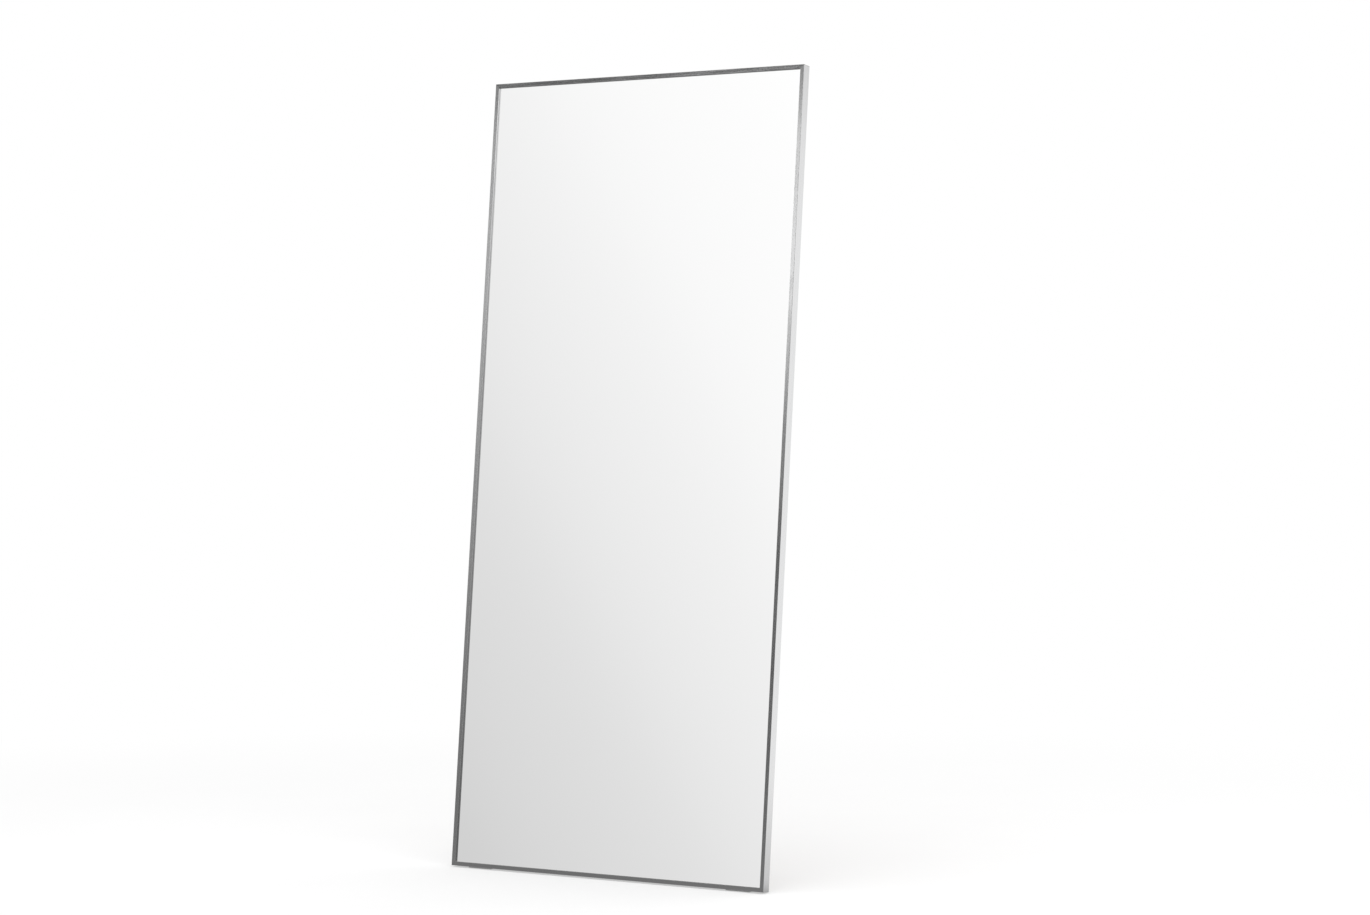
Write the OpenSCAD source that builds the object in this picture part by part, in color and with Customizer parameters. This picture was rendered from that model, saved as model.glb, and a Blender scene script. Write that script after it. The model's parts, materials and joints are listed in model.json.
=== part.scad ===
// Full-length mirror in a slim mitred metal frame, leaning back on a fold-out stand.
// The mirror is drawn upright first: X runs to the right, Y from the front lip to the back,
// Z up from the bottom edge of the frame. place() then leans it back onto the floor.
// The model's origin is on the floor, under the middle of its bounding box.

/* [Mirror] */
// Overall width of the frame
mirror_w = 813; // [600:1:1200]
// Overall height of the frame, measured along the glass
mirror_h = 1803; // [1400:1:2200]
// Depth of the frame from its front lip to its rear face
frame_depth = 25; // [23:0.5:40]

/* [Frame rails] */
// Width of the front lip that shows round the glass
lip_w = 9.2; // [7:0.1:14]
// Thickness of the front lip
lip_t = 1.6; // [1.2:0.1:3]
// Width of a rail at the back, over its channel
rail_w = 14; // [13:0.5:20]
// Width of the lip's thick inner edge, which hides the gasket
nose_w = 1.2; // [0.8:0.1:2]
// Gap between the lip's thick inner edge and the glass
nose_gap = 0.5; // [0.3:0.1:1.5]
// Thickness of a rail's walls
wall_t = 1.5; // [1:0.1:2]
// Radius on the outer front edge of a rail
edge_r = 0.8; // [0.3:0.1:1]
// Radius on the outer corners of the frame
corner_r = 1; // [0.5:0.1:1.4]
// Reach of each hook over the rear channel
hook_w = 3; // [2.4:0.1:3.3]
// Gap between two rails at a mitre, and between two gasket strips
mitre_gap = 0.1; // [0.05:0.05:0.5]

/* [Glass panel] */
// Thickness of the mirror glass
glass_t = 4; // [3:0.5:6]
// Thickness of the safety film on the back of the glass
film_t = 0.2; // [0.1:0.05:0.5]
// Thickness of the foam sheet behind the film
foam_t = 1; // [0.5:0.5:3]
// Thickness of the backing board
board_t = 3; // [2:0.5:4]
// Thickness of the gasket between the lip and the glass
gasket_t = 3.3; // [2:0.1:4]
// Gap between the gasket and the lip's thick inner edge
gasket_setback = 0.2; // [0.1:0.1:1]
// Gap between the edges of the panel and the walls of the frame
panel_gap = 1; // [0.5:0.1:2]
// Play between the backing board and the shelf behind it
panel_play = 0.2; // [0.1:0.05:0.5]

/* [Corner keys] */
// Length of each arm of a corner key
key_l = 45; // [42:1:80]
// Thickness of a corner key and of a channel nut
key_t = 4; // [3:0.5:5]
// Side play of a corner key or a channel nut in its channel
key_play = 0.2; // [0.1:0.05:0.5]
// Distance of the first key screw from the outer corner of the frame
key_screw_start = 20; // [18:1:22]
// Distance between the two screws in an arm
key_screw_pitch = 16; // [12:1:20]

/* [Crossbars] */
// Height of each crossbar
bar_h = 50; // [46:1:70]
// Thickness of each crossbar
bar_t = 2.5; // [2:0.5:4]
// Distance from each end of a crossbar to the side of the frame
bar_inset = 2; // [1.5:0.5:3]
// Corner radius of a crossbar
bar_r = 3; // [1:0.5:6]
// Depth of the middle of the hanging bar below the top of the frame
hang_drop = 160; // [80:5:300]
// Height of the middle of the lower crossbar above the bottom of the frame
low_bar_z = 180; // [80:5:400]
// Distance between the two screws at each end of a crossbar
bar_screw_pitch = 30; // [22:1:34]
// Length of a channel nut
nut_l = 42; // [40:1:60]

/* [Keyholes] */
// Distance between the two keyholes in the hanging bar
keyhole_pitch = 406; // [200:1:500]
// Radius of a keyhole's round entry
keyhole_r = 5; // [4.5:0.5:7]
// Width of a keyhole's slot
keyhole_slot_w = 5; // [4:0.5:6]
// Rise of the slot's end above the middle of the round entry
keyhole_rise = 12; // [9:1:16]

/* [Stand] */
// Height of the hinge pins above the bottom of the frame
pivot_h = 1000; // [800:5:1300]
// Angle between the mirror and the open stand
stand_angle = 12; // [8:0.5:20]
// Distance of the middle of each leg from the side of the frame
leg_inset = 166; // [100:1:220]
// Radius of the stand's tube
tube_r = 6; // [5.5:0.5:8]
// Wall thickness of the tube
tube_wall = 1.5; // [1:0.1:2]
// Radius of the bends at the bottom of the stand, along the middle of the tube
bend_r = 40; // [30:1:80]
// Length of leg above the hinge pin, whose end stops the open stand
heel_l = 18; // [15:0.5:21]
// Thickness of the head of each end plug
plug_t = 1.5; // [1:0.5:3]
// Length of each end plug inside the tube
plug_l = 6; // [4:0.5:8]

/* [Hinge brackets] */
// Width of a bracket's base
bracket_w = 50; // [46:1:80]
// Distance from the base of a bracket to the edge of its crossbar
bracket_margin = 2; // [1:0.5:4]
// Thickness of a bracket
bracket_t = 2; // [1.5:0.5:3]
// Gap between the tube and each ear
ear_gap = 0.4; // [0.2:0.1:1]
// Radius of the round end of an ear
ear_r = 9; // [7:0.5:10]
// Radius of a hinge pin
pin_r = 2.5; // [2:0.5:3.5]
// Thickness of a hinge pin's head
pin_head_t = 1.5; // [1:0.5:3]
// Reach of a hinge pin's head and of its clip past the pin
pin_head_w = 2; // [1:0.5:3]
// Thickness of the clip on a hinge pin
clip_t = 0.8; // [0.5:0.1:1.2]
// Depth of the groove that holds the clip
clip_groove = 0.5; // [0.3:0.1:0.8]
// Clearance round a hinge pin
pin_fit = 0.05; // [0.02:0.01:0.09]
// Gap between the end of the open leg and the base that stops it
stop_gap = 0.1; // [0.05:0.05:0.5]

/* [Feet and pads] */
// Outer radius of the stand's rubber feet
foot_r = 9; // [8.5:0.5:14]
// Length of each rubber foot
foot_l = 60; // [30:1:80]
// Distance from each rubber foot to the bend beside it
foot_gap = 4; // [1:1:30]
// Height of the folded feet above the bottom of the frame
foot_lift = 0; // [0:0.5:20]
// Length of each floor pad
pad_l = 60; // [20:1:120]
// Width of each floor pad
pad_w = 12; // [8:0.5:20]
// Thickness of each floor pad at its rear edge
pad_t = 1; // [0.5:0.1:4]
// Distance from the floor pads to the rear face of the frame
pad_back = 1; // [0.5:0.5:4]
// Distance from each floor pad to the side of the frame
pad_inset = 40; // [20:1:120]
// Thickness of each wall bumper
bumper_t = 6; // [5.5:0.5:10]
// Radius of each wall bumper at the frame
bumper_r = 5; // [4:0.5:6]
// Radius of each wall bumper at its tip
bumper_tip_r = 3; // [2:0.5:4]
// Distance of each wall bumper from the top or bottom of the frame
bumper_end = 75; // [70:1:90]
// Gap between the folded stand and its two rests
rest_gap = 0.3; // [0.1:0.1:1]

/* [Fasteners] */
// Radius of every screw's thread
screw_r = 2; // [1.5:0.1:2.2]
// Radius of every screw's head
head_r = 4; // [3.4:0.1:4.4]
// Height of every screw's head
head_t = 2.2; // [1.8:0.1:3]
// Reach of each bracket screw past its crossbar
screw_tail = 1.5; // [1:0.5:4]
// Distance from a bracket screw's head to the edges of the bracket's base
head_margin = 2; // [1:0.5:4]
// Clearance round a screw or in a pushed fit
push_fit = 0.05; // [0.02:0.01:0.1]

/* [Hidden] */
$fn = 48;

// How far a cut runs past the faces that it goes through
past = 1;

// The stack of the panel, from the front lip back
glass_y = lip_t + gasket_t;
nose_t = glass_y - nose_gap;
film_y = glass_y + glass_t;
foam_y = film_y + film_t;
board_y = foam_y + foam_t;
shelf_y = board_y + board_t + panel_play;
channel_y = shelf_y + wall_t;
hook_y = frame_depth - wall_t;
key_y = hook_y - key_t;
panel_inset = wall_t + panel_gap;

// The rear channel of a rail, across its width
channel_u = rail_w / 2;
key_w = rail_w - 2 * wall_t - 2 * key_play;

// The crossbars and what is screwed to them
bar_y = frame_depth;
bar_back = bar_y + bar_t;
bar_l = mirror_w - 2 * bar_inset;
hang_bar_z = mirror_h - hang_drop;
side_screw_x = mirror_w / 2 - channel_u;
keyhole_z = -keyhole_rise / 2;
bracket_back = bar_back + bracket_t;
bracket_h = bar_h - 2 * bracket_margin;
bracket_screw_x = bracket_w / 2 - head_r - head_margin;
bracket_screw_z = bracket_h / 2 - head_r - head_margin;

// The stand, with its hinge pin at pivot_y and pivot_h
leg_x = mirror_w / 2 - leg_inset;
pivot_y = bracket_back + stop_gap + heel_l * sin(stand_angle) + tube_r * cos(stand_angle);
leg_l = pivot_h - foot_r - foot_lift;
foot_x = leg_x - bend_r - foot_l / 2 - foot_gap;
foot_y = pivot_y + leg_l * sin(stand_angle);
foot_z = pivot_h - leg_l * cos(stand_angle);
ear_x = tube_r + ear_gap;
rest_t = pivot_y - tube_r - rest_gap - bar_back;

// Hinge pin and its retaining clip
pin_head_r = pin_r + pin_head_w;
pin_side = ear_x + bracket_t;
clip_groove_r = pin_r - clip_groove;
clip_groove_w = clip_t + 2 * push_fit;
clip_mouth = 1.6 * clip_groove_r;
clip_x = pin_side + ear_gap;
pin_tail = ear_gap + clip_groove_w + clip_t;

// Shapes of the screws
head_top_r = 0.7 * head_r;
socket_r = 0.4 * head_r;
socket_z = head_t / 3;
grub_socket_r = screw_r / 2;
grub_socket_depth = screw_r;

// Where the floor lies: it touches the rear edge of the pads and the round feet
pad_rear = frame_depth - pad_back;
pad_x = mirror_w / 2 - pad_inset - pad_l / 2;
foot_reach = norm([foot_y - pad_rear, foot_z + pad_t]);
lean = atan2(foot_z + pad_t, foot_y - pad_rear) - asin(foot_r / foot_reach);
floor_drop = pad_rear * sin(lean) + pad_t * cos(lean);
front_reach = edge_r * (sin(lean) + cos(lean) - 1);
foot_back = foot_y * cos(lean) + foot_z * sin(lean) + foot_r;
top_back = frame_depth * cos(lean) + mirror_h * sin(lean);
middle_y = (front_reach + max(foot_back, top_back)) / 2;

frame_colour = [0.74, 0.75, 0.76];
zinc_colour = [0.68, 0.69, 0.70];
stand_colour = [0.55, 0.56, 0.58];
rubber_colour = [0.10, 0.10, 0.11];
pale_rubber_colour = [0.55, 0.55, 0.54];

// Leans the upright mirror back and stands it on the floor
module place() {
    translate([0, -middle_y, floor_drop]) rotate([-lean, 0, 0]) children();
}

// Swings the hanging stand out to its open angle
module place_stand() {
    place() translate([0, pivot_y, pivot_h]) rotate([stand_angle, 0, 0]) children();
}

// Extrudes a shape drawn in X and Z backwards from Y = 0
module sheet(t) {
    translate([0, t, 0]) rotate([90, 0, 0]) linear_extrude(t) children();
}

// Extrudes a shape drawn in Y and Z along X, about X = 0
module along_x(l) {
    rotate([90, 0, 90]) linear_extrude(l, center = true) children();
}

// A round bar along Y, from Y = 0 back
module rod_y(r, l) {
    rotate([-90, 0, 0]) cylinder(r = r, h = l);
}

// A round hole along Y through a plate of thickness t that starts at Y = 0
module hole_y(r, t) {
    translate([0, -past, 0]) rod_y(r, t + 2 * past);
}

// A round bar along X, from X = 0 to the right
module rod_x(r, l) {
    rotate([0, 90, 0]) cylinder(r = r, h = l);
}

// A rectangle about its middle with round corners
module round_rect(w, h, r) {
    square([w - 2 * r, h], center = true);
    square([w, h - 2 * r], center = true);
    for (sx = [-1, 1], sz = [-1, 1]) {
        translate([sx * (w / 2 - r), sz * (h / 2 - r)]) circle(r);
    }
}

// What is trimmed off a sharp corner at the origin to leave it with radius r
module round_off(r) {
    difference() {
        translate([-past, -past]) square(r + past);
        translate([r, r]) circle(r);
    }
}

// Section of a rail: X is the distance in from the outer face, Y the depth behind the front
module rail_section() {
    difference() {
        union() {
            square([wall_t, frame_depth]);
            square([lip_w, lip_t]);
            translate([lip_w - nose_w, 0]) square([nose_w, nose_t]);
            translate([0, shelf_y]) square([rail_w, wall_t]);
            translate([rail_w - wall_t, shelf_y]) square([wall_t, frame_depth - shelf_y]);
            translate([0, hook_y]) square([wall_t + hook_w, wall_t]);
            translate([rail_w - wall_t - hook_w, hook_y]) square([wall_t + hook_w, wall_t]);
        }
        round_off(edge_r);
    }
}

// What is trimmed off a sharp outer corner at the origin
module corner_trim() {
    translate([0, -past, 0]) sheet(frame_depth + 2 * past) round_off(corner_r);
}

// A rail standing on Z with both ends cut at 45 degrees, its long side at X = 0
module mitred_rail(l) {
    cut = mitre_gap / sqrt(2);
    difference() {
        intersection() {
            linear_extrude(l) rail_section();
            sheet(frame_depth) polygon([
                [0, cut], [rail_w, rail_w + cut], [rail_w, l - rail_w - cut], [0, l - cut]
            ]);
        }
        corner_trim();
        translate([0, 0, l]) mirror([0, 0, 1]) corner_trim();
    }
}

// A flat layer of the panel, as large as the frame lets it be
module panel_layer(y, t) {
    translate([-mirror_w / 2 + panel_inset, y, panel_inset]) {
        cube([mirror_w - 2 * panel_inset, t, mirror_h - 2 * panel_inset]);
    }
}

// Puts a corner piece, drawn with its corner at the origin, into one corner of the frame
module at_corner(sx, top) {
    translate([sx * mirror_w / 2, 0, top ? mirror_h : 0]) {
        mirror([sx > 0 ? 1 : 0, 0, 0]) mirror([0, 0, top ? 1 : 0]) children();
    }
}

// Places along an arm where the key's screws go
function key_screw_places() = [key_screw_start, key_screw_start + key_screw_pitch];

// An angle of flat bar that joins two rails behind their hooks
module corner_key() {
    start = wall_t + key_play;
    translate([0, key_y, 0]) difference() {
        sheet(key_t) translate([start, start]) {
            square([key_l, key_w]);
            square([key_w, key_l]);
        }
        for (p = key_screw_places(), pair = [[p, channel_u], [channel_u, p]]) {
            translate([pair[0], 0, pair[1]]) hole_y(screw_r + push_fit, key_t);
        }
    }
}

// A screw without a head that presses on the shelf and pulls its key against the hooks
module key_screw() {
    l = hook_y - channel_y;
    difference() {
        rod_y(screw_r, l);
        translate([0, l - grub_socket_depth, 0]) rotate([-90, 0, 0]) {
            cylinder(r = grub_socket_r, h = grub_socket_depth + past, $fn = 6);
        }
    }
}

// A round-headed screw with a hexagon socket: its head stands on Y = 0, its thread runs forwards
module headed_screw(l) {
    difference() {
        union() {
            translate([0, -l, 0]) rod_y(screw_r, l);
            rod_y(head_r, head_t / 2);
            translate([0, head_t / 2, 0]) rotate([-90, 0, 0]) {
                cylinder(r1 = head_r, r2 = head_top_r, h = head_t / 2);
            }
        }
        translate([0, socket_z, 0]) rotate([-90, 0, 0]) cylinder(r = socket_r, h = head_t, $fn = 6);
    }
}

// Heights of the three crossbars
function bar_heights() = [hang_bar_z, pivot_h, low_bar_z];

// A flat bar across the back, with two screw holes at each end
module crossbar(z) {
    translate([0, bar_y, z]) difference() {
        sheet(bar_t) round_rect(bar_l, bar_h, bar_r);
        for (sx = [-1, 1], sz = [-1, 1]) {
            translate([sx * side_screw_x, 0, sz * bar_screw_pitch / 2]) {
                hole_y(screw_r + push_fit, bar_t);
            }
        }
        children();
    }
}

// Places of a bracket's four screws, from the middle of its base
function bracket_screw_places() = [
    for (sx = [-1, 1], sz = [-1, 1]) [sx * bracket_screw_x, sz * bracket_screw_z]
];

// A round entry with a slot above it, cut through a crossbar
module keyhole() {
    translate([0, 0, keyhole_z]) {
        hole_y(keyhole_r, bar_t);
        translate([-keyhole_slot_w / 2, -past, 0]) {
            cube([keyhole_slot_w, bar_t + 2 * past, keyhole_rise]);
        }
        translate([0, 0, keyhole_rise]) hole_y(keyhole_slot_w / 2, bar_t);
    }
}

// A base plate with two ears that hold the hinge pin at pivot_y
module hinge_bracket() {
    difference() {
        union() {
            translate([0, bar_back, 0]) sheet(bracket_t) round_rect(bracket_w, bracket_h, bar_r);
            for (sx = [-1, 1]) {
                translate([sx * (ear_x + bracket_t / 2), 0, 0]) along_x(bracket_t) {
                    translate([bar_back, -ear_r]) square([pivot_y - bar_back, 2 * ear_r]);
                    translate([pivot_y, 0]) circle(ear_r);
                }
            }
        }
        for (p = bracket_screw_places()) {
            translate([p[0], bar_back, p[1]]) hole_y(screw_r + push_fit, bracket_t);
        }
        translate([-pin_side - past, pivot_y, 0]) rod_x(pin_r + pin_fit, 2 * (pin_side + past));
    }
}

// A headed pin with a groove for its clip; the head is on the left
module hinge_pin() {
    difference() {
        union() {
            translate([-pin_side, 0, 0]) rod_x(pin_r, 2 * pin_side + pin_tail);
            translate([-pin_side - pin_head_t, 0, 0]) rod_x(pin_head_r, pin_head_t);
        }
        translate([clip_x, 0, 0]) difference() {
            rod_x(pin_r + past, clip_groove_w);
            translate([-past, 0, 0]) rod_x(clip_groove_r, clip_groove_w + 2 * past);
        }
    }
}

// A flat open ring that sits in the pin's groove
module pin_clip() {
    translate([clip_x + push_fit, 0, 0]) difference() {
        rod_x(pin_head_r, clip_t);
        translate([-past, 0, 0]) rod_x(clip_groove_r + push_fit, clip_t + 2 * past);
        translate([-past, -clip_mouth / 2, 0]) cube([clip_t + 2 * past, clip_mouth, pin_head_r]);
    }
}

// The wall of the stand's tube, cut across
module tube_section() {
    difference() {
        circle(tube_r);
        circle(tube_r - tube_wall);
    }
}

// One half of the stand: a leg down from the hinge, a bend and half of the bottom bar
module half_stand() {
    straight_top = heel_l - plug_t;
    translate([leg_x, 0, -leg_l + bend_r]) linear_extrude(leg_l - bend_r + straight_top) {
        tube_section();
    }
    translate([leg_x - bend_r, 0, -leg_l + bend_r]) rotate([90, 0, 0]) {
        rotate([0, 0, -90]) rotate_extrude(angle = 90) translate([bend_r, 0]) tube_section();
    }
    translate([0, 0, -leg_l]) rotate([0, 90, 0]) linear_extrude(leg_x - bend_r) tube_section();
}

// A plug in the upper end of a leg, whose head rests on the bracket when the stand is open
module end_plug() {
    translate([0, 0, heel_l - plug_t]) cylinder(r = tube_r, h = plug_t);
    translate([0, 0, heel_l - plug_t - plug_l]) cylinder(r = tube_r - tube_wall - push_fit, h = plug_l);
}

// A rubber sleeve round the bottom bar, with bevelled ends
module foot() {
    bevel = (foot_r - tube_r) / 2;
    difference() {
        rotate([0, 90, 0]) {
            translate([0, 0, -foot_l / 2]) cylinder(r1 = foot_r - bevel, r2 = foot_r, h = bevel);
            translate([0, 0, bevel - foot_l / 2]) cylinder(r = foot_r, h = foot_l - 2 * bevel);
            translate([0, 0, foot_l / 2 - bevel]) cylinder(r1 = foot_r, r2 = foot_r - bevel, h = bevel);
        }
        translate([-foot_l / 2 - past, 0, 0]) rod_x(tube_r + push_fit, foot_l + 2 * past);
    }
}

// A wedge under the bottom rail that lies flat on the floor when the mirror leans
module floor_pad() {
    along_x(pad_l) polygon([
        [pad_rear - pad_w, 0], [pad_rear, 0], [pad_rear, -pad_t],
        [pad_rear - pad_w, -pad_t - pad_w * tan(lean)]
    ]);
}

module top_rail() {
    color(frame_colour) place() translate([-mirror_w / 2, 0, mirror_h]) {
        rotate([0, 90, 0]) mitred_rail(mirror_w);
    }
}

module bottom_rail() {
    color(frame_colour) place() translate([-mirror_w / 2, 0, 0]) {
        mirror([0, 0, 1]) rotate([0, 90, 0]) mitred_rail(mirror_w);
    }
}

module left_rail() {
    color(frame_colour) place() translate([-mirror_w / 2, 0, 0]) mitred_rail(mirror_h);
}

module right_rail() {
    color(frame_colour) place() translate([mirror_w / 2, 0, 0]) {
        mirror([1, 0, 0]) mitred_rail(mirror_h);
    }
}

module mirror_glass() {
    color([0.90, 0.92, 0.93]) place() panel_layer(glass_y, glass_t);
}

module safety_film() {
    color([0.55, 0.60, 0.66]) place() panel_layer(film_y, film_t);
}

module foam_sheet() {
    color([0.92, 0.92, 0.90]) place() panel_layer(foam_y, foam_t);
}

module backing_board() {
    color([0.55, 0.42, 0.30]) place() panel_layer(board_y, board_t);
}

// Four strips between the lip and the glass, the side ones full length
module glass_gasket() {
    inner = lip_w - nose_w - gasket_setback;
    color(rubber_colour) place() translate([0, lip_t, 0]) {
        for (sx = [-1, 1]) at_corner(sx, false) {
            sheet(gasket_t) translate([panel_inset, panel_inset]) {
                square([inner - panel_inset, mirror_h - 2 * panel_inset]);
            }
        }
        for (top = [false, true]) at_corner(-1, top) {
            sheet(gasket_t) translate([inner + mitre_gap, panel_inset]) {
                square([mirror_w - 2 * inner - 2 * mitre_gap, inner - panel_inset]);
            }
        }
    }
}

module corner_key_top_left() { color(zinc_colour) place() at_corner(-1, true) corner_key(); }

module corner_key_top_right() { color(zinc_colour) place() at_corner(1, true) corner_key(); }

module corner_key_bottom_left() { color(zinc_colour) place() at_corner(-1, false) corner_key(); }

module corner_key_bottom_right() { color(zinc_colour) place() at_corner(1, false) corner_key(); }

module corner_key_screws() {
    color(zinc_colour) place() for (sx = [-1, 1], top = [false, true]) at_corner(sx, top) {
        for (p = key_screw_places(), pair = [[p, channel_u], [channel_u, p]]) {
            translate([pair[0], channel_y, pair[1]]) key_screw();
        }
    }
}

module hanging_bar() {
    color(zinc_colour) place() crossbar(hang_bar_z) {
        for (sx = [-1, 1]) translate([sx * keyhole_pitch / 2, 0, 0]) keyhole();
    }
}

module upper_crossbar() {
    color(zinc_colour) place() crossbar(pivot_h) {
        for (sx = [-1, 1], p = bracket_screw_places()) {
            translate([sx * leg_x + p[0], 0, p[1]]) hole_y(screw_r + push_fit, bar_t);
        }
    }
}

module lower_crossbar() {
    color(zinc_colour) place() crossbar(low_bar_z);
}

module crossbar_screws() {
    l = bar_back - key_y;
    color(zinc_colour) place() {
        for (z = bar_heights(), sx = [-1, 1], sz = [-1, 1]) {
            translate([sx * side_screw_x, bar_back, z + sz * bar_screw_pitch / 2]) headed_screw(l);
        }
    }
}

module channel_nuts() {
    color(zinc_colour) place() {
        for (z = bar_heights(), sx = [-1, 1]) {
            translate([sx * side_screw_x, key_y, z]) difference() {
                translate([-key_w / 2, 0, -nut_l / 2]) cube([key_w, key_t, nut_l]);
                for (sz = [-1, 1]) {
                    translate([0, 0, sz * bar_screw_pitch / 2]) hole_y(screw_r + push_fit, key_t);
                }
            }
        }
    }
}

module hinge_bracket_left() {
    color(zinc_colour) place() translate([-leg_x, 0, pivot_h]) hinge_bracket();
}

module hinge_bracket_right() {
    color(zinc_colour) place() translate([leg_x, 0, pivot_h]) hinge_bracket();
}

module bracket_screws() {
    l = bracket_t + bar_t + screw_tail;
    color(zinc_colour) place() {
        for (sx = [-1, 1], p = bracket_screw_places()) {
            translate([sx * leg_x + p[0], bracket_back, pivot_h + p[1]]) headed_screw(l);
        }
    }
}

module hinge_pin_left() {
    color(zinc_colour) place() translate([-leg_x, pivot_y, pivot_h]) hinge_pin();
}

module hinge_pin_right() {
    color(zinc_colour) place() translate([leg_x, pivot_y, pivot_h]) mirror([1, 0, 0]) hinge_pin();
}

module pin_clips() {
    color(zinc_colour) place() {
        translate([-leg_x, pivot_y, pivot_h]) pin_clip();
        translate([leg_x, pivot_y, pivot_h]) mirror([1, 0, 0]) pin_clip();
    }
}

module stand_frame() {
    color(stand_colour) place_stand() difference() {
        union() {
            half_stand();
            mirror([1, 0, 0]) half_stand();
        }
        for (sx = [-1, 1]) {
            translate([sx * leg_x - tube_r - past, 0, 0]) rod_x(pin_r + pin_fit, 2 * (tube_r + past));
        }
    }
}

module stand_end_plugs() {
    color(rubber_colour) place_stand() {
        for (sx = [-1, 1]) translate([sx * leg_x, 0, 0]) end_plug();
    }
}

module stand_foot_left() {
    color(rubber_colour) place_stand() translate([-foot_x, 0, -leg_l]) foot();
}

module stand_foot_right() {
    color(rubber_colour) place_stand() translate([foot_x, 0, -leg_l]) foot();
}

// Two round rests on the lower crossbar that the folded legs lie against
module stand_rests() {
    color(rubber_colour) place() {
        for (sx = [-1, 1]) translate([sx * leg_x, bar_back, low_bar_z]) rod_y(tube_r, rest_t);
    }
}

module floor_pad_left() {
    color(pale_rubber_colour) place() translate([-pad_x, 0, 0]) floor_pad();
}

module floor_pad_right() {
    color(pale_rubber_colour) place() translate([pad_x, 0, 0]) floor_pad();
}

// Four tapered bumpers on the backs of the side rails
module wall_bumpers() {
    color(pale_rubber_colour) place() for (sx = [-1, 1], z = [bumper_end, mirror_h - bumper_end]) {
        translate([sx * side_screw_x, frame_depth, z]) rotate([-90, 0, 0]) {
            cylinder(r1 = bumper_r, r2 = bumper_tip_r, h = bumper_t);
        }
    }
}

top_rail();
bottom_rail();
left_rail();
right_rail();
mirror_glass();
safety_film();
foam_sheet();
backing_board();
glass_gasket();
corner_key_top_left();
corner_key_top_right();
corner_key_bottom_left();
corner_key_bottom_right();
corner_key_screws();
hanging_bar();
upper_crossbar();
lower_crossbar();
crossbar_screws();
channel_nuts();
hinge_bracket_left();
hinge_bracket_right();
bracket_screws();
hinge_pin_left();
hinge_pin_right();
pin_clips();
stand_frame();
stand_end_plugs();
stand_foot_left();
stand_foot_right();
stand_rests();
floor_pad_left();
floor_pad_right();
wall_bumpers();
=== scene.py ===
"""Full-length mirror in a slim mitred aluminium frame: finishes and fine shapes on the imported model.

Lengths are in metres. Mirror axes are X to the right, Y from the lip back, and Z up the glass, from the
frame's lower front edge. Stand axes start at the hinge line, with Z up the open legs.
"""
import json
from math import asin, atan, cos, pi, radians, sin

import bmesh
import bpy
import numpy as np
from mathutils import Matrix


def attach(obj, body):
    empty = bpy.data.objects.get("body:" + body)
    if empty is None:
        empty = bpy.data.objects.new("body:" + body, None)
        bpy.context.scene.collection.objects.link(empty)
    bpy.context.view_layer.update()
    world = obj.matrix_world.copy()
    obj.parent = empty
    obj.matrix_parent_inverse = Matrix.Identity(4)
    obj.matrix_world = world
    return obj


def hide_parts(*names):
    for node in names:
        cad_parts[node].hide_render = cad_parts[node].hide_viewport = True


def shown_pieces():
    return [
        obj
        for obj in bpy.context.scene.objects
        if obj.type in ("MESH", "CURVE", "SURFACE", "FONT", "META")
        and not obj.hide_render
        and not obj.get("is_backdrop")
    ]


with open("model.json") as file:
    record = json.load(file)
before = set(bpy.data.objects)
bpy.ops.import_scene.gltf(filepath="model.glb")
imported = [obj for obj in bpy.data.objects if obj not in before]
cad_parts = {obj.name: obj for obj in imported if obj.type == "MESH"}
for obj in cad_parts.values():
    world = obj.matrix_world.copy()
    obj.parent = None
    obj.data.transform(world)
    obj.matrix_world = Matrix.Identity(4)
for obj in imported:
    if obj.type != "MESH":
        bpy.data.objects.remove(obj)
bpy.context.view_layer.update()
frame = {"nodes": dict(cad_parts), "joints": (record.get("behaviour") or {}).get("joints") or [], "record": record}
nodes = frame["nodes"]

MM = 0.001


# Places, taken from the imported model

def turned_x(points, angle):
    """Turns points about the X axis: y' = y cos a - z sin a and z' = y sin a + z cos a."""
    x, y, z = np.moveaxis(np.asarray(points, float), -1, 0)
    return np.stack([x, y * cos(angle) - z * sin(angle), y * sin(angle) + z * cos(angle)], -1)


def node_points(name):
    """The corners of a CAD node's mesh as an array."""
    mesh = nodes[name].data
    flat = np.empty(3 * len(mesh.vertices), np.float32)
    mesh.vertices.foreach_get("co", flat)
    return flat.reshape(-1, 3).astype(float)


mounts = {mount["name"]: mount for mount in frame["record"]["mounts"]}
LEAN = asin(-mounts["keyhole_left"]["axis"][2])
LOWER_EDGE = turned_x(node_points("bottom_rail"), LEAN).min(0) * [0, 1, 1]
HINGE = np.array(frame["joints"][0]["pos_m"])
OPENING = radians(frame["joints"][0]["range_deg"][1])


def to_mirror(points):
    """Gives the mirror axes' numbers for points of the model."""
    return turned_x(points, LEAN) - LOWER_EDGE


def from_mirror(points):
    """Places points given in mirror axes."""
    return turned_x(points + LOWER_EDGE, -LEAN)


def from_stand(points):
    """Places points given in stand axes."""
    return turned_x(points, OPENING - LEAN) + HINGE


def mirror_box(name):
    """Lowest and highest corner of a CAD node in mirror axes."""
    points = to_mirror(node_points(name))
    return points.min(0), points.max(0)


def stand_box(name):
    """Lowest and highest corner of a CAD node in stand axes."""
    points = turned_x(node_points(name) - HINGE, LEAN - OPENING)
    return points.min(0), points.max(0)


# Shader tools

def feed(tree, sockets, values):
    """Wires the sockets that get another node's output, and sets the others, by name or number."""
    for key, value in values.items():
        if isinstance(value, bpy.types.NodeSocket):
            tree.links.new(value, sockets[key])
        else:
            sockets[key].default_value = value


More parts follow.
